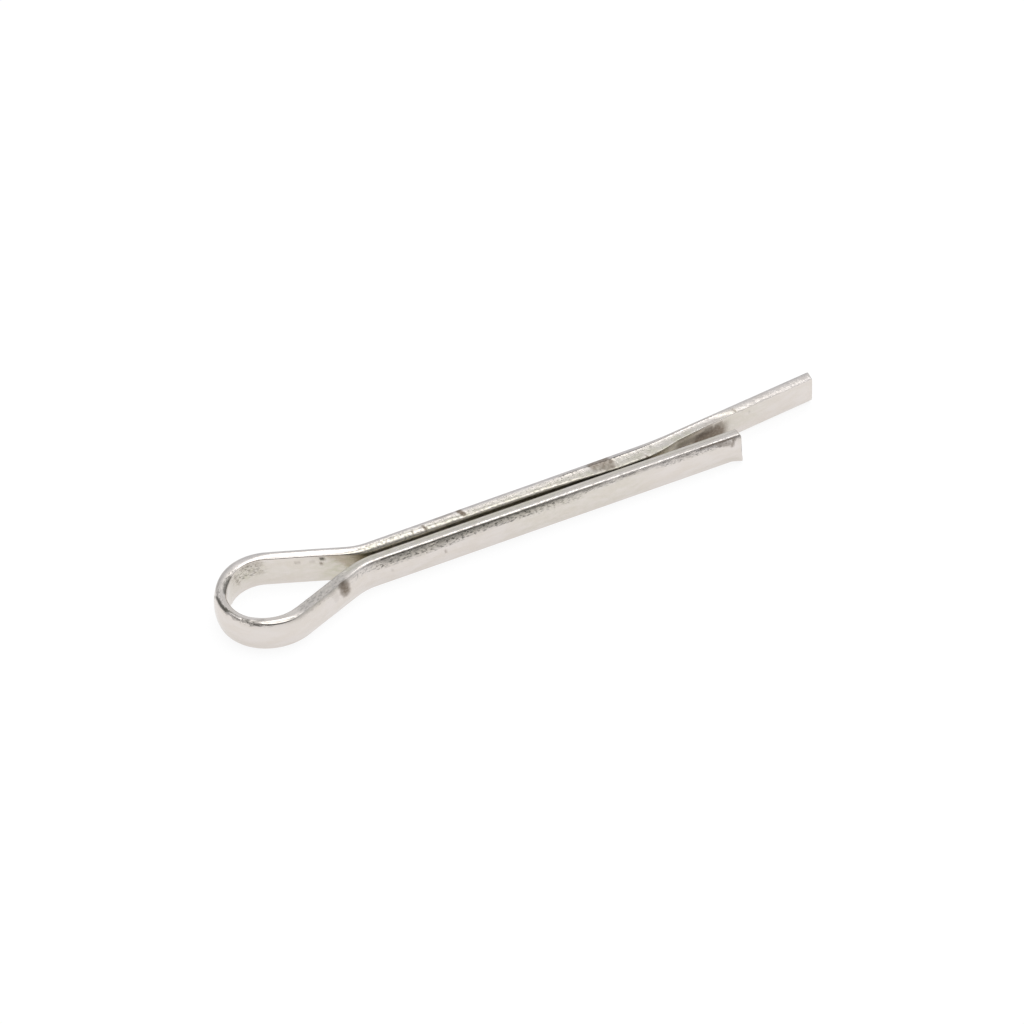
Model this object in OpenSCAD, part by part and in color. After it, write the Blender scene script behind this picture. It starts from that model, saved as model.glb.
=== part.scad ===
// Cotter pin (split pin), 3/16 in by 2 in, with one extended leg.
//
// One length of flattened half-round wire is folded double, so that the flat faces of its
// legs look at each other. The fold is an open, slightly lopsided teardrop eye. The pin is
// drawn lying on its side, as it comes to rest.
//
// Frame: +X runs along the shank towards the tips, +Y is the side of the long leg, +Z is up.
// The origin is on the shank's axis, in the plane where the eye seats on its cross hole.

/* [Wire] */
// Width of the wire, across its flat face
wire_width = 4.2; // [3.6:0.1:4.8]
// Thickness of the wire, from its flat face to the crest of its outer face
wire_thickness = 1.8; // [1.5:0.05:2.0]
// Thickness left where the wire was stretched round the eye's closed end
closed_end_thickness = 1.4; // [1.2:0.05:2.0]
// Thickness of the long leg where it starts to spread, by which the gap is narrower
spread_thickness = 2.65; // [1.6:0.05:2.8]
// Radius of the crowned outer face, seen in section
crown_radius = 4.6; // [3.6:0.1:12]
// Radius of the edges beside the flat inner face
inner_edge_radius = 0.3; // [0.2:0.05:0.7]
// Radius of the edges beside the outer face
outer_edge_radius = 0.55; // [0.2:0.05:0.7]

/* [Length] */
// Nominal length, from the seat under the eye to the tip of the short leg
nominal_length = 50.8; // [46:0.1:100]
// How far the long leg reaches past the short one
leg_extension = 13.3; // [4:0.1:25]
// Distance from the seat under the eye to where the legs run straight
seat_to_neck = 2.36; // [0.5:0.02:4]

/* [Eye] */
// Inside radius of the eye's closed end, on the long leg's side
far_end_radius = 5.1; // [4:0.1:7]
// Inside radius of the eye's shoulder, on the long leg's side
far_shoulder_radius = 4.3; // [3.5:0.1:7]
// Inside radius of the eye's closed end, on the short leg's side
near_end_radius = 4.1; // [3.5:0.1:7]
// Inside radius of the eye's shoulder, on the short leg's side
near_shoulder_radius = 4.7; // [3.5:0.1:7]
// Angle that each end radius turns through before the shoulder takes over
end_turn = 48; // [30:1:70]
// How far the closed end sits off the shank's axis, towards the long leg
eye_shift = -0.2; // [-0.8:0.05:0.8]
// Angle at which each side of the eye runs in to the shank
taper_angle = 22; // [16:0.5:32]
// Radius of the bend at the neck, measured to the flat face
neck_radius = 8; // [2.6:0.1:9]

/* [Legs] */
// Gap between the flat faces of the legs at the neck
leg_gap = 0.7; // [0.3:0.05:2]
// Angle at which the long leg opens from the shank's axis
long_leg_angle = 0.1; // [0:0.1:1]
// Angle at which the short leg opens from the shank's axis
short_leg_angle = 0.6; // [0:0.1:2]
// Distance from the seat to the middle of the slow bend that spreads the long leg's end
spread_start = 40.8; // [20:0.1:44]
// Angle of that bend
spread_angle = 5.5; // [1:0.5:12]
// Radius of that bend, measured to the flat face
spread_radius = 57; // [20:1:80]

/* [Tips] */
// Radius of the corners of each tip, seen from the side of the pin
tip_corner_radius = 0.35; // [0.1:0.05:0.6]
// Length over which the shear flared the short tip's outer face
lip_length = 1.2; // [0.4:0.1:2]
// Height of that flare at the lower edge of the wire; it dies away towards the upper one
lip_height = 0.8; // [0.1:0.05:0.9]

/* [Hidden] */

half_width = wire_width / 2;

// Flats that stand for each round stretch
edge_steps = 5;
crown_steps = 6;
end_steps = 10;
shoulder_steps = 13;
neck_steps = 7;
spread_steps = 5;
tip_steps = 4;

// Length in which the thick part of the long leg runs out beyond its bend
spread_run_out = 2.5;

function last(list) = list[len(list) - 1];
function clamp(value, low, high) = min(max(value, low), high);

// ---- Section of the wire: [out, up], from the flat face at out = 0 to the crowned face ----

crown_centre = wire_thickness - crown_radius;
// Centre of the outer edges' arcs, which run smoothly into the crown
outer_edge_out = crown_centre
    + sqrt(pow(crown_radius - outer_edge_radius, 2) - pow(half_width - outer_edge_radius, 2));
crown_angle = atan2(half_width - outer_edge_radius, outer_edge_out - crown_centre);

function arc_points(centre, radius, start, end, steps) = [
    for (i = [0:steps]) let (a = start + (end - start) * i / steps)
        centre + radius * [cos(a), sin(a)]
];

inner_edge = [inner_edge_radius, half_width - inner_edge_radius];
outer_edge = [outer_edge_out, half_width - outer_edge_radius];
crown = arc_points([crown_centre, 0], crown_radius, -crown_angle, crown_angle, crown_steps);

wire_section = concat(
    arc_points([inner_edge[0], -inner_edge[1]], inner_edge_radius, 180, 270, edge_steps),
    arc_points([outer_edge[0], -outer_edge[1]], outer_edge_radius, -90, -crown_angle, edge_steps),
    [for (i = [1:crown_steps - 1]) crown[i]],
    arc_points(outer_edge, outer_edge_radius, crown_angle, 90, edge_steps),
    arc_points(inner_edge, inner_edge_radius, 90, 180, edge_steps)
);

// ---- Route of the flat face. A pose is [point, heading, distance left to the tip] ----

// Anything further than this from a tip has the plain section
far_from_tip = 1000;

function forward(heading) = [cos(heading), sin(heading)];
function outward(heading) = [-sin(heading), cos(heading)];

// The pose after a bend: a positive turn is towards the crowned face
function after_bend(pose, radius, turn) =
    let (centre = pose[0] + sign(turn) * radius * outward(pose[1]), heading = pose[1] + turn)
        [centre - sign(turn) * radius * outward(heading), heading, far_from_tip];
function bend(pose, radius, turn, steps) =
    [for (i = [1:steps]) after_bend(pose, radius, turn * i / steps)];
function straight(pose, length) =
    [pose[0] + length * forward(pose[1]), pose[1], far_from_tip];

// One half of the eye, from the inside of its closed end to the end of its neck
function half_eye(closed_end_x, shift, end_radius, shoulder_radius, leg_angle) =
    let (
        closed_end = [[closed_end_x, shift], 90, far_from_tip],
        end_bend = bend(closed_end, end_radius, -end_turn, end_steps),
        shoulder = bend(last(end_bend), shoulder_radius, end_turn - 90 - taper_angle, shoulder_steps),
        neck_drop = neck_radius * (cos(leg_angle) - cos(taper_angle)),
        side_length = (last(shoulder)[0][1] - neck_drop - leg_gap / 2) / sin(taper_angle),
        side = straight(last(shoulder), side_length),
        neck = bend(side, neck_radius, taper_angle + leg_angle, neck_steps)
    ) concat([closed_end], end_bend, shoulder, [side], neck);

// The last stretch of a leg, up to a tip at tip_x: close poses where the tip is shaped
shaped_length = max(lip_length, tip_corner_radius);
function leg_end(pose, tip_x) =
    let (length = (tip_x - pose[0][0]) / cos(pose[1]))
        [for (i = [0:2 * tip_steps]) let (
            left = i < tip_steps
                ? tip_corner_radius + (shaped_length - tip_corner_radius) * (1 - i / tip_steps)
                : tip_corner_radius * (1 - sin(90 * (i / tip_steps - 1)))
        ) [pose[0] + (length - left) * forward(pose[1]), pose[1], left]];

// The long leg runs straight, spreads in one slow bend, and runs straight to its tip
function long_leg(neck_end) =
    let (
        tangent = spread_radius * tan(spread_angle / 2),
        run_in = (spread_start - neck_end[0][0]) / cos(neck_end[1]) - tangent,
        bend_start = straight(neck_end, run_in),
        slow_bend = bend(bend_start, spread_radius, spread_angle, spread_steps),
        run_out = [for (length = [1, nominal_length - last(slow_bend)[0][0]])
            straight(last(slow_bend), length)]
    ) concat([bend_start], slow_bend, run_out, leg_end(last(run_out), nominal_length + leg_extension));

function far_half(closed_end_x) =
    half_eye(closed_end_x, eye_shift, far_end_radius, far_shoulder_radius, long_leg_angle);
// The near half is worked out on the +Y side too, and mirrored when its rings are made
function near_half(closed_end_x) =
    half_eye(closed_end_x, -eye_shift, near_end_radius, near_shoulder_radius, short_leg_angle);

// The closed end lies where it brings the far half's neck to its place beyond the seat
closed_end_x = seat_to_neck - last(far_half(0))[0][0];
far_eye = far_half(closed_end_x);
near_eye = near_half(closed_end_x);
far_route = concat(far_eye, long_leg(last(far_eye)));
near_route = concat(near_eye, leg_end(last(near_eye), nominal_length));

// ---- Rings of the wire, one at each pose ----

// Half height of the tip's rounded outline at a distance from its end
function tip_half_height(left) =
    half_width - tip_corner_radius
        + sqrt(max(0, pow(tip_corner_radius, 2) - pow(max(0, tip_corner_radius - left), 2)));

// How far the flare lifts a point of the section, growing to the tip, the outer face and the bottom
function flare(point, left) =
    lip_height * pow(clamp(1 - left / lip_length, 0, 1), 2)
        * clamp(2 * point[0] / wire_thickness - 1, 0, 1)
        * pow((1 - point[1] / half_width) / 2, 2);

// The outer face keeps its place where the wire is thinner or thicker than its section
function set_in(point, thickness) =
    wire_thickness - (wire_thickness - point[0]) * thickness / wire_thickness;

// side is 1 for the far half and -1 for the near one, which alone has the flare
function ring(pose, side) =
    let (thickness = lookup(pose[0][0], side < 0 ? near_thickness : far_thickness)) [
        for (point = wire_section) let (
            lift = side < 0 ? flare(point, pose[2]) : 0,
            half_height = tip_half_height(pose[2]),
            flat = pose[0] + (set_in(point, thickness) + lift) * outward(pose[1])
        ) [flat[0], side * flat[1], clamp(point[1], -half_height, half_height)]
    ];

// Thickness of the wire at a distance from the seat, on either half
far_thickness = [
    [closed_end_x, closed_end_thickness], [closed_end_x + far_end_radius, wire_thickness],
    [0, wire_thickness],
    [spread_start / 2, wire_thickness + (spread_thickness - wire_thickness) / 3],
    [spread_start, spread_thickness],
    [spread_start + spread_run_out, wire_thickness + (spread_thickness - wire_thickness) / 4],
    [nominal_length, wire_thickness]
];
near_thickness = [
    [closed_end_x, closed_end_thickness], [closed_end_x + near_end_radius, wire_thickness]
];

// From the near tip round the eye to the far tip; the closed end's ring is used once
rings = concat(
    [for (i = [len(near_route) - 1:-1:0]) ring(near_route[i], -1)],
    [for (i = [1:len(far_route) - 1]) ring(far_route[i], 1)]
);

// A closed skin over a list of rings that have as many points each
module skin(rings) {
    around = len(rings[0]);
    sides = [
        for (i = [0:len(rings) - 2], j = [0:around - 1]) let (next = (j + 1) % around)
            [(i + 1) * around + j, (i + 1) * around + next, i * around + next, i * around + j]
    ];
    first_cap = [for (j = [0:around - 1]) j];
    last_cap = [for (j = [around - 1:-1:0]) (len(rings) - 1) * around + j];
    polyhedron([for (r = rings, p = r) p], concat([first_cap], sides, [last_cap]), convexity = 6);
}

module cotter_pin() {
    color("silver") skin(rings);
}

cotter_pin();
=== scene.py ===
import math

import bpy
import numpy as np
from mathutils import Matrix, Vector


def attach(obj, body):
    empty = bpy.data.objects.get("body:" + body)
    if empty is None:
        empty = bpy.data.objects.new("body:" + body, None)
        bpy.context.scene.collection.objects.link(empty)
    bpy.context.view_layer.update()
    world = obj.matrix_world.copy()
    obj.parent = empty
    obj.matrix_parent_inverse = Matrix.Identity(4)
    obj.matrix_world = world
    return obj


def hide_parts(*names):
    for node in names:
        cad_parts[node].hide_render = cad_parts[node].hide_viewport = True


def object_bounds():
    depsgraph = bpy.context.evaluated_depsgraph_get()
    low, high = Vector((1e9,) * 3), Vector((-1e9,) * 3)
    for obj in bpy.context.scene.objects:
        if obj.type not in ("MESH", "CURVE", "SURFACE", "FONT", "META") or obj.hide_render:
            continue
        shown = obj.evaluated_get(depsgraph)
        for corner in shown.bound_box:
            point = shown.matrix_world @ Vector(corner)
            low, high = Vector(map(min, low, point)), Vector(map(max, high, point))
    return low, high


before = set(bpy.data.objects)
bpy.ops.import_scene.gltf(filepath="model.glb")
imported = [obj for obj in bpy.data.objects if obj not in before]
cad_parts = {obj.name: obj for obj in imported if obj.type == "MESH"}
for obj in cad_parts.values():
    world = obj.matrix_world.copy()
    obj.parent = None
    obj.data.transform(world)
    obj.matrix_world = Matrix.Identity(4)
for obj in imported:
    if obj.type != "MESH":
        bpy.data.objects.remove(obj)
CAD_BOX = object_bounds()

MM = 0.001
NODE = "cotter_pin"

# ---- sizes of the pin, as in the part's source (mm, degrees) -------------------------------------
WIRE_WIDTH = 4.2
WIRE_THICKNESS = 1.8
HALF_WIDTH = WIRE_WIDTH / 2
CROWN_RADIUS = 4.6
NOMINAL_LENGTH = 50.8
LEG_EXTENSION = 13.3
SEAT_TO_NECK = 2.36
FAR_END_RADIUS = 5.1
FAR_SHOULDER_RADIUS = 4.3
NEAR_END_RADIUS = 4.1
NEAR_SHOULDER_RADIUS = 4.7
END_TURN = 48.0
EYE_SHIFT = -0.2
TAPER_ANGLE = 22.0
NECK_RADIUS = 8.0
LEG_GAP = 0.7
LONG_LEG_ANGLE = 0.1
SHORT_LEG_ANGLE = 0.6
SPREAD_START = 40.8
SPREAD_ANGLE = 5.5
SPREAD_RADIUS = 57.0
LIP_HEIGHT = 0.8         # outward flare of the short leg's cut end, at its lower edge
LIP_LENGTH = 1.2

# ---- finer shape of the dressed wire (mm, degrees) -----------------------------------------------
# Sections of the wire: (upper inner edge radius, lower inner edge radius, lower outer edge radius,
# upper outer ease radius and turn, upper outer edge radius, step height, step start, step end).
# Rolling left the top and the underside a little higher along the outside than along the inside,
# and the step lies between the two, at its start and end distance from the flat face.
SECTIONS = {
    "short_leg": (0.20, 0.30, 0.50, 0.40, 36, 0.45, 0.15, 0.50, 0.80),
    "short_end": (0.20, 0.30, 0.50, 0.34, 36, 0.26, 0.15, 0.50, 0.80),
    "near_neck": (0.20, 0.20, 0.70, 0.16, 20, 0.14, 0.03, 0.50, 0.80),
    "near_side": (0.20, 0.20, 0.80, 0.20, 20, 0.16, 0.03, 0.50, 0.80),
    "near_end": (0.30, 0.20, 1.00, 0.90, 36, 0.20, 0.03, 0.50, 0.80),
    "closed_end": (0.45, 0.20, 1.00, 0.70, 36, 0.20, 0.03, 0.50, 0.80),
    "far_end": (0.12, 0.20, 0.60, 0.85, 40, 0.35, 0.05, 0.14, 0.36),
    "far_side": (0.12, 0.20, 0.40, 0.60, 45, 0.40, 0.10, 0.20, 0.80),
    "far_neck": (0.65, 0.30, 0.45, 0.60, 40, 0.45, 0.03, 0.68, 0.90),
    "long_leg": (0.32, 0.30, 0.45, 0.55, 36, 0.40, 0.06, 0.45, 0.90),
    "long_end": (0.12, 0.30, 0.45, 0.55, 36, 0.40, 0.10, 0.60, 1.05),
    "spread": (0.10, 0.30, 0.45, 0.50, 36, 0.40, 0.10, 0.75, 1.05),
    "long_tip": (0.05, 0.80, 0.50, 0.60, 30, 0.40, 0.14, 0.07, 0.60),
}
MEASURED_SECTION = "short_leg"          # the section along which distances around the wire are measured
UNDERSIDE_STEP = (0.05, 0.50, 0.80)     # height, start and end of the underside's step, everywhere
# (distance along the wire from the closed end, section there), + on the long leg's half
SECTION_PLACES = [
    (-70, "short_end"), (-50, "short_end"), (-43, "short_leg"), (-18, "short_leg"), (-15, "near_neck"),
    (-13, "near_neck"), (-11, "near_side"), (-8.5, "near_side"), (-6.5, "near_end"), (-3.5, "near_end"),
    (-2, "closed_end"), (2.5, "closed_end"), (5, "far_end"), (7.5, "far_end"), (10, "far_side"),
    (17.5, "far_side"), (22, "far_neck"), (26, "far_neck"), (34, "long_leg"), (44, "long_leg"),
    (50, "long_end"), (57, "long_end"), (59, "spread"), (68, "spread"), (71, "long_tip"), (84, "long_tip"),
]
# (distance along the wire, thickness there as a share of the wire's own)
THICKNESS_PLACES = [
    (-70, 1.0), (-8, 1.0), (-3, 0.78), (1, 0.78), (4, 0.94), (15, 0.95), (22, 1.06), (30, 1.13),
    (42, 1.20), (48, 1.32), (51, 1.44), (54, 1.52), (58, 1.50), (60, 1.39), (62.5, 1.14), (66, 1.06),
    (70, 1.0), (84, 1.0),
]
GROWTH_DEPTH = 1.3       # a thicker wire bulges inwards, in the part of its section this near its flat face

TIP_LEVELS = (0, 0.5, 1)                # top, middle and bottom of a cut end
# How far those three places lie beyond the leg's nominal end
NEAR_TIP_SLIPS = (-0.08, -0.24, 0.10)
FAR_TIP_SLIPS = (-0.02, 0.20, 0.38)
FAR_TIP_OUTER_SLIP = 0.60               # how much further the long leg's end reaches at its outer side
SLIP_LENGTH = 3.0                       # length before a tip that is drawn out with it
# Radii of a cut end's upper, lower and outer corners
NEAR_TIP_CORNERS = (0.35, 0.10, 0.12)
FAR_TIP_CORNERS = (0.30, 0.55, 1.10)
LIP_POWER = 1.3                         # how suddenly the flare grows towards the cut
LIP_ONSET = 0.4                         # how close to the outer face the flare stays
CUT_FADE = 0.30                         # the wear runs out in this length before a cut end

# ---- fineness of the mesh ------------------------------------------------------------------------
RING_STEP = 0.17         # along the wire, which sets the smallest relief that the mesh holds
TIP_BLEND = 1.10         # length before a tip where rings lie closer together
TIP_RINGS = 10
CROWN_ROWS = 12
OUTER_EDGE_ROWS = 8
EASE_ROWS = 7
HIGH_FLAT_ROWS = 1
STEP_ROWS = 3
LOW_FLAT_ROWS = 3
INNER_EDGE_ROWS = 7
INNER_FACE_ROWS = 4
LEAST_RUN = 0.02         # least length of a stretch of the section, so that its rows stay apart
TOLERANCE = 1e-9


def sine(degrees):
    return math.sin(math.radians(degrees))


def cosine(degrees):
    return math.cos(math.radians(degrees))


# ---- camera: a long lens on the short leg's side, from above --------------------------------------
CAMERA_AZIMUTH = 29.38   # degrees from +Y towards +X
CAMERA_ELEVATION = 42.04
CAMERA_ROLL = 1.057
CAMERA_DISTANCE = 339.7
CAMERA_LENS = 101.6
CAMERA_SENSOR = 36
CAMERA_CLIP = (0.01, 10)               # metres
AIM_OFF_CENTRE = (-2.74, 0.23, 0.0)    # mm, from the middle of the CAD box


def make_camera():
    middle = (Vector(CAD_BOX[0]) + Vector(CAD_BOX[1])) / 2
    aim = middle + Vector(AIM_OFF_CENTRE) * MM
    forward = Vector((sine(CAMERA_AZIMUTH) * cosine(CAMERA_ELEVATION),
                      cosine(CAMERA_AZIMUTH) * cosine(CAMERA_ELEVATION), -sine(CAMERA_ELEVATION)))
    right = Vector((cosine(CAMERA_AZIMUTH), -sine(CAMERA_AZIMUTH), 0))
    up = right.cross(forward)
    turned_right = right * cosine(CAMERA_ROLL) + up * sine(CAMERA_ROLL)
    turned_up = up * cosine(CAMERA_ROLL) - right * sine(CAMERA_ROLL)
    place = aim - forward * CAMERA_DISTANCE * MM
    camera = bpy.data.objects.new("camera", bpy.data.cameras.new("camera"))
    bpy.context.scene.collection.objects.link(camera)
    axes = Matrix((turned_right, turned_up, -forward)).transposed().to_4x4()
    camera.matrix_world = Matrix.Translation(place) @ axes
    camera.data.sensor_width = CAMERA_SENSOR
    camera.data.lens = CAMERA_LENS
    camera.data.clip_start, camera.data.clip_end = CAMERA_CLIP
    bpy.context.scene.camera = camera


# ---- the wire's section --------------------------------------------------------------------------
def arc(centre, radius, start, end, count):
    """[out, up, normal's out, normal's up] rows along an arc of the section."""
    angles = np.radians(np.linspace(start, end, count))
    normal = np.stack([np.cos(angles), np.sin(angles)], 1)
    return np.hstack([np.array(centre) + radius * normal, normal])


def straight(start, end, normal, count):
    """Rows strictly between two points of the section."""
    share = np.linspace(0, 1, count + 2)[1:-1, None]
    points = np.array(start) * (1 - share) + np.array(end) * share
    return np.hstack([points, np.tile(normal, (count, 1))])


def half_section(inner_edge, outer_ease, outer_turn, outer_edge, step_height, step_start, step_end):
    """Rows of the section's upper half, from the middle of its outside to that of its inside."""
    slack = outer_ease - outer_edge
    crown_centre = WIRE_THICKNESS - CROWN_RADIUS
    rise = HALF_WIDTH - outer_ease + slack * cosine(outer_turn)
    reach = math.sqrt((CROWN_RADIUS - outer_edge) ** 2 - rise ** 2)
    crown = math.degrees(math.atan2(rise, reach))
    edge_out = crown_centre + reach
    ease_out = edge_out - slack * sine(outer_turn)
    step_start = max(step_start, inner_edge + LEAST_RUN)
    step_end = max(step_end, step_start + LEAST_RUN)
    low = HALF_WIDTH - step_height
    tilt = math.degrees(math.atan2(step_height, step_end - step_start))
    return np.vstack([
        arc((crown_centre, 0), CROWN_RADIUS, 0, crown, CROWN_ROWS)[:-1],
        arc((edge_out, rise), outer_edge, crown, 90 - outer_turn, OUTER_EDGE_ROWS),
        arc((ease_out, HALF_WIDTH - outer_ease), outer_ease, 90 - outer_turn, 90, EASE_ROWS)[1:],
        straight((ease_out, HALF_WIDTH), (step_end, HALF_WIDTH), (0, 1), HIGH_FLAT_ROWS),
        straight((step_end, HALF_WIDTH), (step_start, low), (-sine(tilt), cosine(tilt)), STEP_ROWS),
        straight((step_start, low), (inner_edge, low), (0, 1), LOW_FLAT_ROWS),
        arc((inner_edge, low - inner_edge), inner_edge, 90, 180, INNER_EDGE_ROWS),
        straight((0, low - inner_edge), (0, 0), (-1, 0), INNER_FACE_ROWS),
    ])


def wire_section(upper_inner_edge, lower_inner_edge, lower_outer_edge, ease, turn, edge, *step):
    """The closed section from the inner end of its lower side, round by the outside and the top."""
    upper = half_section(upper_inner_edge, ease, turn, edge, *step)
    lower = half_section(lower_inner_edge, lower_outer_edge, turn, lower_outer_edge, *UNDERSIDE_STEP)
    lower = lower[::-1] * np.array([1, -1, 1, -1])
    inner_rows = INNER_FACE_ROWS + INNER_EDGE_ROWS
    return np.vstack([lower[inner_rows:], upper[1:], [[0, 0, -1, 0]], lower[:inner_rows]])


# ---- the wire's route ----------------------------------------------------------------------------
def half_route(closed_end_x, shift, end_radius, shoulder_radius, leg_angle, reach, spread):
    """[(length, turn in degrees), ...] from the closed end along one half, and the x of its neck's end.

    Both halves are worked out on +Y. A half that spreads has the slow bend of the long leg.
    """
    x = closed_end_x + end_radius * (1 - cosine(END_TURN))
    y = shift + end_radius * sine(END_TURN)
    heading = 90 - END_TURN
    turn = -TAPER_ANGLE - heading
    x += shoulder_radius * (sine(heading) - sine(heading + turn))
    y += shoulder_radius * (cosine(heading + turn) - cosine(heading))
    fall = y - NECK_RADIUS * (cosine(leg_angle) - cosine(TAPER_ANGLE)) - LEG_GAP / 2
    side = fall / sine(TAPER_ANGLE)
    x += side * cosine(TAPER_ANGLE) + NECK_RADIUS * (sine(TAPER_ANGLE) + sine(leg_angle))
    bends = [(math.radians(END_TURN) * end_radius, -END_TURN),
             (math.radians(-turn) * shoulder_radius, turn),
             (side, 0.0),
             (math.radians(TAPER_ANGLE + leg_angle) * NECK_RADIUS, TAPER_ANGLE + leg_angle)]
    if not spread:
        return bends + [((reach - x) / cosine(leg_angle), 0.0)], x
    tangent = SPREAD_RADIUS * math.tan(math.radians(SPREAD_ANGLE) / 2)
    to_bend = (SPREAD_START - x) / cosine(leg_angle) - tangent
    bend_x = (x + to_bend * cosine(leg_angle)
              + SPREAD_RADIUS * (sine(leg_angle + SPREAD_ANGLE) - sine(leg_angle)))
    rest = (reach - bend_x) / cosine(leg_angle + SPREAD_ANGLE)
    return bends + [(to_bend, 0.0), (math.radians(SPREAD_ANGLE) * SPREAD_RADIUS, SPREAD_ANGLE),
                    (rest, 0.0)], x


def walk(segments, start, heading, stations):
    """Place and heading at each distance in stations along straight and round segments."""
    points = np.zeros((len(stations), 2))
    headings = np.zeros(len(stations))
    place, begun = np.array(start, float), 0.0
    for number, (length, turn) in enumerate(segments):
        last = number == len(segments) - 1
        here = (stations >= begun - TOLERANCE) & (last | (stations < begun + length - TOLERANCE))
        along = np.append(stations[here] - begun, length)
        h0 = math.radians(heading)
        if turn:
            curve = math.radians(turn) / length
            h = h0 + curve * along
            offset = np.stack([np.sin(h) - math.sin(h0), math.cos(h0) - np.cos(h)], 1) / curve
        else:
            h = np.full(len(along), h0)
            offset = along[:, None] * np.array([math.cos(h0), math.sin(h0)])
        points[here], headings[here] = place + offset[:-1], h[:-1]
        place, heading, begun = place + offset[-1], heading + turn, begun + length
    return points, headings


def half_stations(total):
    """Even stations from the closed end, closer together in the last part before the tip."""
    fine = TIP_BLEND * (1 - np.cos(np.linspace(0, math.pi / 2, TIP_RINGS)))
    body = np.linspace(0, total - TIP_BLEND, int(total / RING_STEP))
    return np.append(body[:-1], np.sort(total - fine))


def wire_route():
    """Rows of x, y, heading, distance left to the tip and signed distance from the closed end."""
    _, neck_x = half_route(0, EYE_SHIFT, FAR_END_RADIUS, FAR_SHOULDER_RADIUS, LONG_LEG_ANGLE,
                           NOMINAL_LENGTH, True)
    closed_end_x = SEAT_TO_NECK - neck_x
    far, _ = half_route(closed_end_x, EYE_SHIFT, FAR_END_RADIUS, FAR_SHOULDER_RADIUS,
                        LONG_LEG_ANGLE, NOMINAL_LENGTH + LEG_EXTENSION, True)
    near, _ = half_route(closed_end_x, -EYE_SHIFT, NEAR_END_RADIUS, NEAR_SHOULDER_RADIUS,
                         SHORT_LEG_ANGLE, NOMINAL_LENGTH, False)
    halves = []
    for segments, shift, side in ((near, -EYE_SHIFT, -1), (far, EYE_SHIFT, 1)):
        total = sum(length for length, _ in segments)
        stations = half_stations(total)
        points, headings = walk(segments, (closed_end_x, shift), 90, stations)
        # The near half runs from its tip to the closed end, so its mirrored heading is turned round.
        heading = headings if side > 0 else math.pi - headings
        points = points * np.array([1, side])
        halves.append(np.column_stack([points, heading, total - stations, side * stations]))
    near_rows, far_rows = halves
    return np.vstack([near_rows[::-1], far_rows[1:]])


# ---- worn surface, with painted shade and reflections --------------------------------------------
# Places on the wire are (along, around) in mm. Along is measured on the inner face from the closed
# end, + on the long leg's half and - on the short leg's. Around starts under the wire at the inner
# side: 1.2 to 4.9 is the crowned outer face, 4.9 to 6.6 the top and its edges, 6.6 to 9.7 the inner face.

# How softly each mask's bands end, along and around the wire
BAND_SOFTNESS = {
    "rough": (3.0, 0.35), "matte": (3.0, 0.5), "olive": (6.0, 0.8), "dull_shaded_rim": (3.0, 0.4),
    "painted_shade": (8.0, 0.8), "stains_and_reflection": (1.5, 0.9),
}
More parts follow.
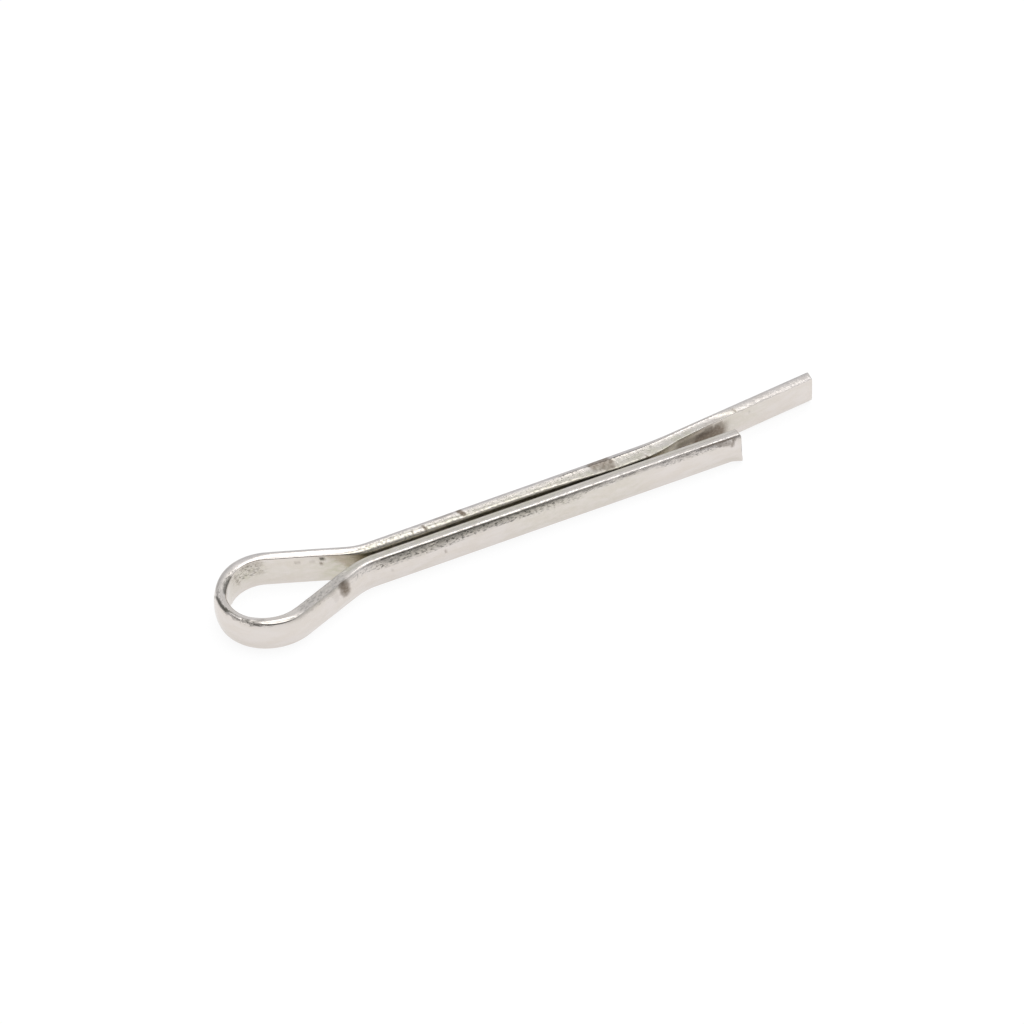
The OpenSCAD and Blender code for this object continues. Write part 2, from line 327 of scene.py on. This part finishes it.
# Bands of each mask: (first along, last along, first around, last around, strength)
BANDS = {
    "rough": [
        (-41.0, -20.5, 4.30, 5.15, 1.25), (-31.0, -20.5, 4.00, 5.15, 1.10), (-52.0, -41.0, 4.60, 5.10, 0.70),
        (-67.5, -50.0, 4.85, 5.15, 0.50), (-67.5, -58.0, 4.35, 5.15, 0.60), (-47.0, -40.0, 4.00, 4.80, 0.35),
        (-22.0, -16.0, 4.20, 5.05, 0.35), (-13.5, -8.0, 4.50, 5.10, 0.25), (-16.0, -7.5, 5.10, 6.50, 0.50),
        (-69.0, -17.0, 5.10, 5.50, 0.35), (-4.5, 3.0, 4.80, 5.60, 0.50), (2.5, 5.5, 5.60, 6.40, 0.60),
        (5.0, 8.5, 6.80, 8.60, 0.60), (19.0, 60.0, 5.60, 6.60, 0.45), (60.0, 83.0, 5.50, 6.40, 0.25),
    ],
    "matte": [
        (-16.5, -7.5, 4.70, 6.60, 1.30), (18.0, 60.0, 6.10, 7.20, 0.60), (19.0, 62.0, 5.10, 6.10, 0.25),
        (-41.0, -21.0, 4.50, 5.10, 0.40), (-70.0, -17.0, 4.95, 5.20, 0.40), (62.0, 83.0, 5.10, 5.60, 0.20),
        (-70.0, -17.0, 5.70, 6.50, 0.30), (57.6, 68.0, 6.40, 7.80, 0.80), (0.5, 6.5, 4.60, 5.80, 0.60),
        (66.5, 72.0, 5.50, 6.50, 0.45),
    ],
    "olive": [
        (18.0, 62.0, 5.90, 8.50, 0.80), (-46.0, -14.0, 5.60, 8.50, 0.80), (-69.0, -46.0, 5.60, 8.50, 0.50),
        (4.5, 8.8, 6.70, 8.80, 0.80), (15.5, 22.5, 6.60, 10.2, 1.00), (62.0, 76.0, 6.20, 9.00, 0.35),
        (69.5, 72.5, 5.50, 6.60, 0.55), (-15.5, -8.0, 4.60, 6.50, 0.45), (57.5, 66.0, 6.00, 8.50, 0.90),
        (-56.0, -38.0, 1.40, 4.90, 0.30), (2.0, 20.0, 6.80, 9.70, 0.25),
    ],
    # The dull rim is rougher, and its grey is painted shade: it dims the tops along the wire and the
    # highlight on the closed end, standing in for the darker reflection of the room behind.
    "dull_shaded_rim": [
        (3.5, 59.0, 3.50, 5.50, 0.90), (59.0, 84.0, 3.50, 5.40, 0.90), (0.5, 8.0, 4.80, 5.70, 0.80),
        (78.0, 84.0, 3.50, 5.40, 1.20), (-46.0, -17.0, 5.65, 6.00, 0.35), (-16.0, -7.5, 5.00, 6.60, 0.90),
    ],
    # Painted shade: darker brown in the narrow gap between the legs, in the crotch at the neck, under the
    # short leg's cut end and along the top of the eye, and a painted dark reflection below the short leg's
    # highlight.
    "painted_shade": [
        (-64.0, -24.0, 6.90, 10.4, 0.50), (24.0, 57.0, 7.00, 10.4, 0.45), (66.0, 69.6, 7.00, 10.4, 0.60),
        (-46.0, -21.0, 4.45, 5.10, 0.60), (-31.0, -21.0, 4.10, 5.10, 0.55), (0.5, 4.5, 5.20, 6.40, 0.30),
        (-16.0, -8.0, 5.20, 6.60, 0.15), (17.0, 22.5, 6.60, 9.90, 0.24), (-69.5, -68.0, 1.20, 2.30, 0.22),
    ],
    # These two brown bands are a painted reflection: the dark inner face of the short leg mirrored in the
    # long leg's inner face before its tip.
    "stains_and_reflection": [
        (62.0, 70.1, 7.10, 10.4, 0.62), (64.5, 70.0, 7.50, 10.4, 1.00),
    ],
}
# Strokes of each mask: (along, around, to along, to around, half width, strength)
STROKES = {
    # Brown strokes are real stains and specks, except those between 65 and 69.3 along on the long leg's
    # inner face, which paint the same dark reflection of the short leg.
    "stains_and_reflection": [
        (-14.8, 3.85, -14.6, 4.65, 0.80, 0.75), (-14.8, 4.00, -14.6, 4.60, 0.50, 0.95),
        (-13.2, 3.80, -12.8, 4.70, 0.50, 0.12), (-29.1, 3.10, -29.05, 3.40, 0.15, 0.50),
        (-22.3, 3.10, -22.1, 3.40, 0.15, 0.15), (-67.9, 4.00, -68.3, 4.90, 0.28, 0.62),
        (-67.6, 4.35, -66.0, 4.75, 0.36, 0.50), (-68.0, 4.95, -63.5, 5.05, 0.14, 0.90),
        (51.0, 5.60, 53.0, 5.70, 0.70, 0.80), (50.6, 5.30, 52.6, 5.50, 0.40, 0.30),
        (33.2, 5.40, 33.5, 6.10, 0.34, 1.00), (28.3, 5.90, 28.4, 6.30, 0.20, 0.90),
        (26.7, 6.00, 26.8, 6.50, 0.07, 0.50), (29.7, 5.70, 29.8, 6.40, 0.08, 0.40),
        (30.2, 5.40, 32.3, 5.40, 0.22, 0.35), (15.3, 7.62, 15.5, 7.65, 0.13, 0.75),
        (12.4, 7.45, 12.9, 7.45, 0.15, 1.00), (14.2, 7.20, 14.6, 7.20, 0.13, 0.60),
        (7.6, 7.90, 7.7, 8.10, 0.10, 0.40), (4.9, 7.20, 5.6, 8.60, 0.20, 0.30),
        (6.2, 6.80, 8.3, 7.00, 0.40, 0.30), (7.2, 7.80, 8.6, 8.40, 0.35, 0.20),
        (57.6, 6.40, 57.7, 7.40, 0.16, 0.70), (65.8, 7.80, 68.8, 7.70, 0.60, 0.95),
        (65.5, 7.35, 69.3, 7.15, 0.35, 0.70), (66.5, 6.30, 69.0, 6.30, 0.22, 0.25),
        (71.4, 5.60, 71.5, 6.20, 0.10, 0.60), (70.6, 6.20, 72.4, 6.50, 0.12, 0.40),
        (73.2, 7.15, 73.6, 7.25, 0.12, 0.25),
    ],
    # Dirt strokes are dirt and specks, and they also paint dark reflections: the thin dark lines along the
    # outer edge of the eye's top and under the short leg's highlight.
    "dirt_and_dark_reflection": [
        (-4.5, 5.55, -3.2, 5.65, 0.10, 0.50), (-2.8, 5.60, -1.2, 5.50, 0.14, 0.70),
        (-1.2, 5.50, -0.6, 5.30, 0.16, 0.80), (-4.0, 5.25, -2.7, 5.45, 0.28, 0.60),
        (-0.6, 5.25, 1.2, 5.00, 0.26, 0.95), (1.3, 4.90, 2.2, 3.90, 0.12, 0.60),
        (-7.3, 5.25, -4.5, 5.35, 0.05, 0.50), (1.6, 6.45, 4.2, 6.45, 0.17, 0.80),
        (4.2, 6.00, 5.2, 6.20, 0.10, 0.50), (15.3, 7.08, 15.7, 7.08, 0.18, 1.10),
        (2.8, 6.00, 4.3, 6.20, 0.30, 0.35), (-3.8, 5.70, -4.4, 6.10, 0.20, 0.40),
        (-41.0, 5.05, -21.0, 5.10, 0.10, 0.80), (-50.0, 5.00, -41.0, 5.05, 0.08, 0.55),
    ],
}
# A stroke's edge, in half widths: where it fades out, how far it wanders, how softly it ends
STROKE_REACH, STROKE_WANDER, STROKE_SOFTNESS = 1.25, 0.35, 0.7

# Heights of the relief
WAVE_HEIGHT = 0.010
COARSE_WEAR_HEIGHT = 0.045
FINE_WEAR_HEIGHT = 0.022
MARK_DEPTH = 0.030
MARK_UNEVENNESS = 0.4

LATTICE_SIZE = 256
OCTAVE_FALL = 0.55       # strength of each finer octave of noise, as a share of the one before


def smooth_step(x):
    x = np.clip(x, 0, 1)
    return x * x * (3 - 2 * x)


def lattice_noise(u, v, seed):
    """Smooth noise from -1 to 1 on a repeating lattice of random numbers."""
    size = LATTICE_SIZE
    values = np.random.default_rng(seed).uniform(-1, 1, (size, size))
    iu, iv = np.floor(u).astype(int), np.floor(v).astype(int)
    fu, fv = smooth_step(u - iu), smooth_step(v - iv)
    a, b = values[iu % size, iv % size], values[(iu + 1) % size, iv % size]
    c, d = values[iu % size, (iv + 1) % size], values[(iu + 1) % size, (iv + 1) % size]
    return (a * (1 - fu) + b * fu) * (1 - fv) + (c * (1 - fu) + d * fu) * fv


def relief(along, around, size, stretch, seed, octaves=3):
    """Fractal noise with features of the given size in mm, drawn out along the wire by stretch."""
    total, weight = 0, 0
    for octave in range(octaves):
        scale, share = 2 ** octave / size, OCTAVE_FALL ** octave
        total = total + share * lattice_noise(along * scale / stretch, around * scale, seed + octave)
        weight += share
    return total / weight


def band_mask(along, around, bands, soft_along, soft_around):
    mask = np.zeros(np.broadcast(along, around).shape)
    for first, last, low, high, strength in bands:
        lengthways = (smooth_step((along - first) / soft_along + 0.5)
                      * smooth_step((last - along) / soft_along + 0.5))
        across = (smooth_step((around - low) / soft_around + 0.5)
                  * smooth_step((high - around) / soft_around + 0.5))
        mask = np.maximum(mask, strength * lengthways * across)
    return mask


def stroke_mask(along, around, strokes):
    mask = np.zeros(np.broadcast(along, around).shape)
    wander = STROKE_WANDER * relief(along, around, size=0.5, stretch=1.0, seed=40)
    for along_0, around_0, along_1, around_1, half_width, strength in strokes:
        run, rise = along_1 - along_0, around_1 - around_0
        share = ((along - along_0) * run + (around - around_0) * rise) / (run ** 2 + rise ** 2)
        share = np.clip(share, 0, 1)
        distance = np.hypot(along - along_0 - share * run, around - around_0 - share * rise)
        inside = (STROKE_REACH + wander - distance / half_width) / STROKE_SOFTNESS
        mask = np.maximum(mask, strength * smooth_step(inside))
    return mask


def surface_fields(along, around):
    """Named masks over the whole mesh, and the height of its relief in mm."""
    masks = {name: band_mask(along, around, bands, *BAND_SOFTNESS[name]) for name, bands in BANDS.items()}
    for name, strokes in STROKES.items():
        masks[name] = np.maximum(masks.get(name, 0), stroke_mask(along, around, strokes))
    coarse = relief(along, around, size=0.42, stretch=1.6, seed=1)
    fine = relief(along, around, size=0.25, stretch=1.0, seed=11, octaves=2)
    waves = relief(along, around, size=2.2, stretch=2.5, seed=21, octaves=2)
    marks = np.maximum(masks["stains_and_reflection"], masks["dirt_and_dark_reflection"])
    height = (WAVE_HEIGHT * waves
              + masks["rough"] * (COARSE_WEAR_HEIGHT * coarse + FINE_WEAR_HEIGHT * fine)
              - MARK_DEPTH * marks * (1 - MARK_UNEVENNESS + MARK_UNEVENNESS * fine))
    return masks, height


# ---- the swept mesh ------------------------------------------------------------------------------
def blended_sections(along):
    """Out, up and the normal's out and up at every ring and row, and the rows' distances around."""
    sections = {name: wire_section(*shape) for name, shape in SECTIONS.items()}
    places, names = zip(*SECTION_PLACES)
    blend = sum(np.interp(along, places, [name == here for here in names])[..., None] * rows
                for name, rows in sections.items())
    ring = sections[MEASURED_SECTION][:, :2]
    sides = np.linalg.norm(np.diff(ring, axis=0, append=ring[:1]), axis=1)
    return np.moveaxis(blend, 2, 0), np.append(0, np.cumsum(sides))


def thicken(out, along):
    """The section drawn in from its flat face where the wire is thin, and bulged there where thick."""
    share = np.interp(along, *zip(*THICKNESS_PLACES))
    growth = WIRE_THICKNESS * np.maximum(share - 1, 0)
    out = WIRE_THICKNESS - (WIRE_THICKNESS - out) * np.minimum(share, 1)
    return out - growth * np.clip(1 - out / GROWTH_DEPTH, 0, 1)


def corner_loss(left, radius):
    """How far a rounded corner draws back at a distance from the cut end."""
    return radius - np.sqrt(np.maximum(0, radius ** 2 - np.maximum(0, radius - left) ** 2))


def round_corners(out, up, left, along):
    """The section held within the rounded corners of the cut ends."""
    upper, lower, outer = (corner_loss(left, np.where(along < 0, near, far))
                           for near, far in zip(NEAR_TIP_CORNERS, FAR_TIP_CORNERS))
    return (np.minimum(out, WIRE_THICKNESS - outer),
            np.clip(up, lower - HALF_WIDTH, HALF_WIDTH - upper))


def tip_lip(out, lowness, left, along):
    """How far the shear flared the short leg's end outwards."""
    outerness = np.clip((1 + LIP_ONSET) * out / WIRE_THICKNESS - LIP_ONSET, 0, 1)
    nearness = np.clip(1 - left / LIP_LENGTH, 0, 1) ** LIP_POWER
    return nearness * outerness * LIP_HEIGHT * lowness ** 2 * (along < 0)


def tip_slip(out, lowness, left, along):
    """How far the ends are drawn along the wire, so that their cuts are slanted and uneven."""
    slip = np.where(along < 0, np.interp(lowness, TIP_LEVELS, NEAR_TIP_SLIPS),
                    np.interp(lowness, TIP_LEVELS, FAR_TIP_SLIPS))
    slip = slip + FAR_TIP_OUTER_SLIP * np.clip(out / WIRE_THICKNESS, 0, 1) * (along > 0)
    return slip * np.clip(1 - left / SLIP_LENGTH, 0, 1) * np.sign(along)


def sweep():
    """Ring points (rings, section, 3) in mm, their distances along and around, and the masks of wear and
    painted shade.
    """
    route = wire_route()
    x, y, heading, left, along = (column[:, None] for column in route.T)
    (out, up, normal_out, normal_up), around = blended_sections(along)
    masks, height = surface_fields(along, around[None, :-1])
    fade = smooth_step(left / CUT_FADE)
    masks = {name: values * fade for name, values in masks.items()}
    out = thicken(out, along) + height * fade * normal_out
    up = up + height * fade * normal_up
    out, up = round_corners(out, up, left, along)
    lowness = (1 - up / HALF_WIDTH) / 2
    away = out + tip_lip(out, lowness, left, along)
    slip = tip_slip(out, lowness, left, along)
    x = x + slip * np.cos(heading)
    y = y + slip * np.sin(heading)
    points = np.stack([x - np.sin(heading) * away, y + np.cos(heading) * away, up], -1)
    return points, route[:, 4], around, masks


CUT_UV_OFFSET = 200      # mm, keeps the cut ends' texture away from the wire's


def build_mesh(name, points, along, around, masks):
    """One closed mesh: four-sided faces between the rings, and a cap over each cut end."""
    rings, count = points.shape[:2]
    ring, row = np.meshgrid(np.arange(rings - 1), np.arange(count), indexing="ij")
    next_row = (row + 1) % count
    quads = np.stack([ring * count + row, ring * count + next_row,
                      (ring + 1) * count + next_row, (ring + 1) * count + row], -1).reshape(-1, 4)
    caps = [tuple(range(count - 1, -1, -1)), tuple((rings - 1) * count + i for i in range(count))]
    mesh = bpy.data.meshes.new(name)
    mesh.from_pydata((points.reshape(-1, 3) * MM).tolist(), [], quads.tolist() + caps)
    mesh.update()
    mesh.shade_smooth()
    # The UV map holds the place on the wire in mm, so grain and draw lines follow the bends.
    u = np.stack([along[ring], along[ring], along[ring + 1], along[ring + 1]], -1)
    v = np.stack([around[row], around[row + 1], around[row + 1], around[row]], -1)
    cut_uv = points.reshape(-1, 3)[np.concatenate(caps)][:, 1:] + CUT_UV_OFFSET
    uv = np.vstack([np.stack([u, v], -1).reshape(-1, 2), cut_uv]).astype(np.float32)
    mesh.uv_layers.new(name="wire").uv.foreach_set("vector", uv.ravel())
    for label, values in masks.items():
        attribute = mesh.attributes.new(label, "FLOAT", "POINT")
        attribute.data.foreach_set("value", values.astype(np.float32).ravel())
    obj = bpy.data.objects.new(name, mesh)
    bpy.context.scene.collection.objects.link(obj)
    return obj


# ---- materials -----------------------------------------------------------------------------------
PLATE = (0.725, 0.670, 0.620)
PLATE_PALE = (0.760, 0.710, 0.675)
OLIVE_TINT = (0.60, 0.575, 0.465)
# Grey of the dull rim, which is painted shade
RIM_SHADE_GREY = (0.52, 0.495, 0.485)
# Brown of the painted shade in the gap between the legs and in the other shaded places
PAINTED_SHADE_BROWN = (0.42, 0.39, 0.31)
# Brown of real stains, and of the painted dark reflection near the long leg's tip
STAIN_AND_REFLECTION_BROWN = (0.22, 0.175, 0.135)
# Black of dirt and pits, and of painted shade and painted dark reflections
DIRT_AND_SHADE_BLACK = (0.11, 0.105, 0.085)

# Noise over the wire: (features per mm along, around and through, detail, roughness)
PATTERNS = {
    "clouds": ((0.35, 0.9, 1), 4, 0.55),
    "blotches": ((1.1, 2.0, 1), 4, 0.55),
    "grain": ((2.5, 5.0, 1), 4, 0.65),
    "streaks": ((0.25, 14.0, 1), 3, 0.55),
}
PALE_RANGE = (0.35, 0.65)          # clouds, from plate to pale plate
PIT_RANGE = (0.50, 0.64)           # grain, from no pit to a full one
# What covers the plate, in this order: (mask, pattern that breaks it up, that pattern's range,
# the cover's share at either end of the range, colour). Some covers are painted shade and painted
# reflections.
COVERS = [
    ("olive", "blotches", (0.32, 0.66), (0.30, 1.00), OLIVE_TINT),
    ("dull_shaded_rim", "blotches", (0.25, 0.70), (0.45, 0.95), RIM_SHADE_GREY),
    ("painted_shade", "clouds", (0.20, 0.70), (0.65, 0.95), PAINTED_SHADE_BROWN),
    # The black in the rough band's pits is painted shade, and it also darkens the band under the short leg's
    # highlight as a painted dark reflection.
    ("rough", "grain", PIT_RANGE, (0.00, 0.80), DIRT_AND_SHADE_BLACK),
    ("stains_and_reflection", "grain", (0.30, 0.62), (0.70, 1.00), STAIN_AND_REFLECTION_BROWN),
    ("dirt_and_dark_reflection", "grain", (0.30, 0.62), (0.70, 1.00), DIRT_AND_SHADE_BLACK),
]
PLATE_ROUGHNESS = (0.15, 0.20)     # least and most, over the middle of the clouds' range
ROUGHNESS_CLOUDS = (0.30, 0.70)
ADDED_ROUGHNESS = {"rough": 0.10, "matte": 0.22, "dull_shaded_rim": 0.10, "stains_and_reflection": 0.30, "dirt_and_dark_reflection": 0.30}
# Heights of the finest relief in mm
STREAK_HEIGHT = 0.0015
GRAIN_HEIGHT = 0.004
PIT_DEPTH = 0.040


class Graph:
    """Short calls for building a node tree."""

    def __init__(self, tree):
        self.nodes, self.links = tree.nodes, tree.links

    def put(self, value, socket):
        if isinstance(value, bpy.types.NodeSocket):
            self.links.new(value, socket)
        else:
            socket.default_value = value

    def math(self, operation, a, b):
        node = self.nodes.new("ShaderNodeMath")
        node.operation = operation
        self.put(a, node.inputs[0])
        self.put(b, node.inputs[1])
        return node.outputs[0]

    def noise(self, vector, scale, detail, roughness):
        stretch = self.nodes.new("ShaderNodeMapping")
        self.put(vector, stretch.inputs["Vector"])
        stretch.inputs["Scale"].default_value = scale
        node = self.nodes.new("ShaderNodeTexNoise")
        self.put(stretch.outputs["Vector"], node.inputs["Vector"])
        node.inputs["Scale"].default_value = 1
        node.inputs["Detail"].default_value = detail
        node.inputs["Roughness"].default_value = roughness
        return node.outputs["Fac"]

    def ramp(self, value, given=(0.0, 1.0), wanted=(0.0, 1.0)):
        """The value taken smoothly from one range to another."""
        node = self.nodes.new("ShaderNodeMapRange")
        node.interpolation_type = "SMOOTHSTEP"
        self.put(value, node.inputs["Value"])
        for number, names in ((given, ("From Min", "From Max")), (wanted, ("To Min", "To Max"))):
            for end, name in zip(number, names):
                node.inputs[name].default_value = end
        return node.outputs["Result"]

    def mix(self, share, a, b):
        node = self.nodes.new("ShaderNodeMix")
        node.data_type = "RGBA"
        self.put(share, node.inputs["Factor"])
        for given, name in ((a, "A"), (b, "B")):
            socket = [s for s in node.inputs if s.name == name and s.type == "RGBA"][0]
            self.put(given if isinstance(given, bpy.types.NodeSocket) else (*given, 1), socket)
        return [s for s in node.outputs if s.type == "RGBA"][0]

    def attribute(self, name):
        node = self.nodes.new("ShaderNodeAttribute")
        node.attribute_name = name
        return node.outputs["Fac"]


def plate_colour(g, masks, patterns):
    """Bare plate that is paler in places, under its stains, pits and dirt, and under painted shade and
    painted reflections.
    """
    colour = g.mix(g.ramp(patterns["clouds"], PALE_RANGE), PLATE, PLATE_PALE)
    for mask, pattern, given, wanted, tint in COVERS:
        share = g.math("MULTIPLY", masks[mask], g.ramp(patterns[pattern], given, wanted))
        colour = g.mix(share, colour, tint)
    return colour


def plate_roughness(g, masks, patterns):
    total = g.ramp(patterns["clouds"], ROUGHNESS_CLOUDS, PLATE_ROUGHNESS)
    for name, amount in ADDED_ROUGHNESS.items():
        total = g.math("ADD", total, g.math("MULTIPLY", masks[name], amount))
    return total


def plate_bump(g, masks, patterns):
    """The normal bent by draw lines, grain and pits. Heights are in mm, and so is the bump's distance."""
    pits = g.math("MULTIPLY", g.ramp(patterns["grain"], PIT_RANGE), masks["rough"])
    height = g.math("MULTIPLY", patterns["streaks"], STREAK_HEIGHT)
    height = g.math("ADD", height, g.math("MULTIPLY", patterns["grain"], GRAIN_HEIGHT))
    height = g.math("SUBTRACT", height, g.math("MULTIPLY", pits, PIT_DEPTH))
    bump = g.nodes.new("ShaderNodeBump")
    bump.inputs["Strength"].default_value = 1
    bump.inputs["Distance"].default_value = MM
    g.put(height, bump.inputs["Height"])
    return bump.outputs["Normal"]


def metal_material():
    mat = bpy.data.materials.new("zinc_plate_with_painted_shade")
    mat.use_nodes = True
    g = Graph(mat.node_tree)
    shader = g.nodes["Principled BSDF"]
    wire = g.nodes.new("ShaderNodeUVMap")
    wire.uv_map = "wire"
    masks = {name: g.attribute(name) for name in (*BANDS, "dirt_and_dark_reflection")}
    patterns = {name: g.noise(wire.outputs["UV"], *shape) for name, shape in PATTERNS.items()}
    shader.inputs["Metallic"].default_value = 1
    g.put(plate_colour(g, masks, patterns), shader.inputs["Base Color"])
    g.put(plate_roughness(g, masks, patterns), shader.inputs["Roughness"])
    g.put(plate_bump(g, masks, patterns), shader.inputs["Normal"])
    return mat


# ---- studio --------------------------------------------------------------------------------------
FLOOR_SIZE = 3                               # metres
FLOOR_MIDDLE = (0.023, 0)
# The floor's (grey, glow) for light that falls on it, in reflections, and as the camera sees it
FLOOR_LIT = (0.85, 0.0)
FLOOR_MIRRORED = (0.24, 0.80)
FLOOR_SEEN = (0.17, 0.885)

SOFTBOX_SIZE = 0.46                          # metres
SOFTBOX_PLACE = (0.07, 0.04, 0.42)
SOFTBOX_ENERGY = 0.80

ROOM_DIM, ROOM_PALE, ROOM_DARK = (0.34, 0.34, 0.35), (0.76, 0.775, 0.80), (0.13, 0.13, 0.13)
# Direction of a side of the room, and how squarely one looks that way where it begins and is full
PALE_SIDE = ((0.75, 0.60, 0.30), (-0.20, 0.55))
DARK_SIDE = ((-0.30, -0.85, 0.45), (0.55, 0.85))


def paper(g, grey, glow):
    """Pale matt paper that also glows a little, so that it comes out white with its shadow."""
    matt = g.nodes.new("ShaderNodeBsdfDiffuse")
    matt.inputs["Color"].default_value = (grey, grey, grey, 1)
    light = g.nodes.new("ShaderNodeEmission")
    light.inputs["Color"].default_value = (1, 1, 1, 1)
    light.inputs["Strength"].default_value = glow
    both = g.nodes.new("ShaderNodeAddShader")
    g.put(matt.outputs[0], both.inputs[0])
    g.put(light.outputs[0], both.inputs[1])
    return both.outputs[0]


def either(g, share, a, b):
    """Surface a where the share is 0, and b where it is 1."""
    node = g.nodes.new("ShaderNodeMixShader")
    g.put(share, node.inputs[0])
    g.put(a, node.inputs[1])
    g.put(b, node.inputs[2])
    return node.outputs[0]


def floor_material():
    """Paper that differs for the camera's rays, for glossy and transmission rays, and for the rest."""
    mat = bpy.data.materials.new("floor")
    mat.use_nodes = True
    g = Graph(mat.node_tree)
    g.nodes.clear()
    path = g.nodes.new("ShaderNodeLightPath")
    mirrored = g.math("MAXIMUM", path.outputs["Is Glossy Ray"], path.outputs["Is Transmission Ray"])
    surface = either(g, mirrored, paper(g, *FLOOR_LIT), paper(g, *FLOOR_MIRRORED))
    surface = either(g, path.outputs["Is Camera Ray"], surface, paper(g, *FLOOR_SEEN))
    output = g.nodes.new("ShaderNodeOutputMaterial")
    g.put(surface, output.inputs[0])
    return mat


def add_floor():
    bpy.ops.mesh.primitive_plane_add(size=FLOOR_SIZE, location=(*FLOOR_MIDDLE, CAD_BOX[0][2]))
    floor = bpy.context.object
    floor.name = "floor"
    floor.data.materials.append(floor_material())


def add_softbox():
    """A large round soft light overhead."""
    light = bpy.data.lights.new("softbox", "AREA")
    light.shape = "DISK"
    light.size = SOFTBOX_SIZE
    light.energy = SOFTBOX_ENERGY
    obj = bpy.data.objects.new("softbox", light)
    obj.location = SOFTBOX_PLACE
    bpy.context.scene.collection.objects.link(obj)


def add_world():
    """A room that is pale behind and on the right, dim on the left, and dark on the camera's side."""
    world = bpy.data.worlds.new("studio")
    bpy.context.scene.world = world
    world.use_nodes = True
    g = Graph(world.node_tree)
    g.nodes.clear()
    place = g.nodes.new("ShaderNodeTexCoord")

    def towards(direction, given):
        node = g.nodes.new("ShaderNodeVectorMath")
        node.operation = "DOT_PRODUCT"
        node.inputs[1].default_value = Vector(direction).normalized()
        g.put(place.outputs["Generated"], node.inputs[0])
        return g.ramp(node.outputs["Value"], given)

    colour = g.mix(towards(*PALE_SIDE), ROOM_DIM, ROOM_PALE)
    colour = g.mix(towards(*DARK_SIDE), colour, ROOM_DARK)
    room = g.nodes.new("ShaderNodeBackground")
    g.put(colour, room.inputs["Color"])
    output = g.nodes.new("ShaderNodeOutputWorld")
    g.put(room.outputs[0], output.inputs[0])


make_camera()
points, along, around, masks = sweep()
pin = build_mesh("pin", points, along, around, masks)
pin.data.materials.append(metal_material())
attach(pin, "root")
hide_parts(NODE)
add_floor()
add_softbox()
add_world()
bpy.context.scene.view_settings.view_transform = "Standard"
